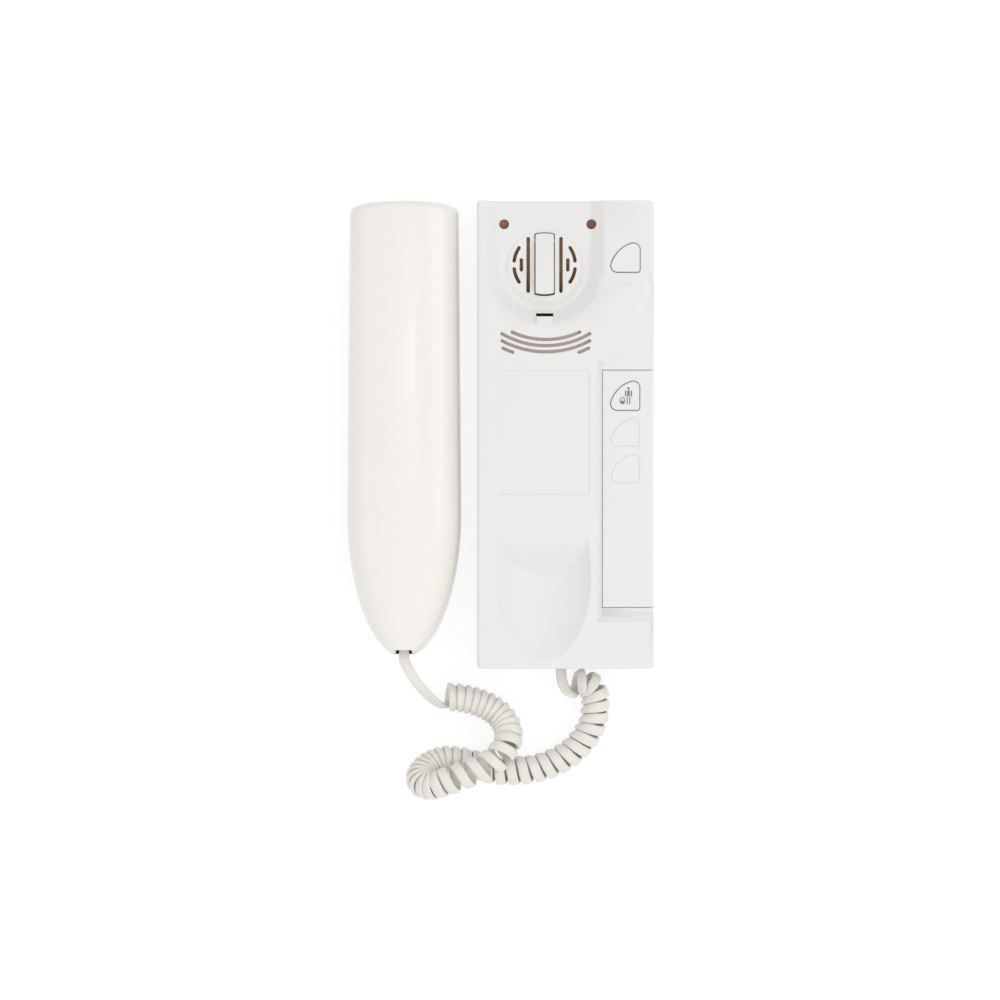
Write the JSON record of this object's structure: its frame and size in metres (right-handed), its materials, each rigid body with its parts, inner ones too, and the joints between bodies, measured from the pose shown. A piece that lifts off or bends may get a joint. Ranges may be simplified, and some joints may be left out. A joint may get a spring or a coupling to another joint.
{
  "type": "audio intercom handset",
  "caption": "White wall intercom with a cradle, hook lever and push buttons, its handset lying beside it on a flat curly cord.",
  "frame": {"origin": "middle of the two wall-screw holes, on the wall face of the back plate", "axes": "+X across the base to its right, +Y up the base, +Z out of the wall towards the user"},
  "size_m": [0.148, 0.289, 0.035],
  "materials": {
    "base_plastic": "fine moulded texture",
    "button_plastic": "smooth",
    "handset_plastic": "semi-gloss",
    "cord_jacket": "satin",
    "board_laminate": "satin",
    "steel": "satin",
    "black_plastic": "satin",
    "red_plastic": "satin",
    "terminal_plastic": "satin",
    "cone_paper": "matt",
    "soft_rubber": "matt",
    "plug_plastic": "smooth"
  },
  "bodies": {
    "base": {"front_cover": "base_plastic", "back_plate": "base_plastic", "button_strip": "base_plastic", "circuit_board": "board_laminate", "board_screws": "steel", "call_speaker": "steel", "speaker_cone": "cone_paper", "hook_switch": "black_plastic", "hook_pivot_pin": "steel", "door_switch": "black_plastic", "call_switch": "black_plastic", "terminal_block": "terminal_plastic", "terminal_screws": "steel", "base_cord_socket": "black_plastic", "base_cord_plug": "plug_plastic", "cover_screw": "steel", "curly_cord": "cord_jacket"},
    "hook": {"hook_lever": "base_plastic"},
    "hook_plunger": {"hook_switch_plunger": "red_plastic"},
    "door_key": {"door_button": "button_plastic", "door_switch_plunger": "red_plastic"},
    "call_key": {"call_button": "button_plastic", "call_switch_plunger": "red_plastic"},
    "handset": {"handset_back_shell": "handset_plastic", "handset_front_shell": "handset_plastic", "handset_screws": "steel", "earpiece_gasket": "soft_rubber", "earpiece_capsule": "black_plastic", "microphone_boot": "soft_rubber", "microphone_capsule": "steel", "handset_cord_socket": "black_plastic", "handset_cord_plug": "plug_plastic"}
  },
  "joints": [
    {"name": "hook_hinge", "type": "hinge", "parent": "base", "child": "hook", "pos_m": [-0.0099, 0.0939, 0.0229], "axis": [1, 0, 0], "range_deg": [0, 12], "stiffness_Nm_per_rad": 0.03, "springref_deg": -22.92},
    {"name": "hook_plunger_slide", "type": "slide", "parent": "base", "child": "hook_plunger", "axis": [0, 0, -1], "range_m": [0, 0.0015]},
    {"name": "door_key_press", "type": "slide", "parent": "base", "child": "door_key", "axis": [0, 0, -1], "range_m": [0, 0.0012], "stiffness_N_per_m": 600, "springref_m": -0.0012},
    {"name": "call_key_press", "type": "slide", "parent": "base", "child": "call_key", "axis": [0, 0, -1], "range_m": [0, 0.0012], "stiffness_N_per_m": 600, "springref_m": -0.0012},
    {"name": "handset_lift", "type": "slide", "parent": "base", "child": "handset", "axis": [0, 0, 1], "range_m": [0, 0.1], "deforming": ["curly_cord"]}
  ],
  "couplings": [
    {"joint": "hook_plunger_slide", "follows": "hook_hinge", "m_per_rad": 0.0065}
  ]
}
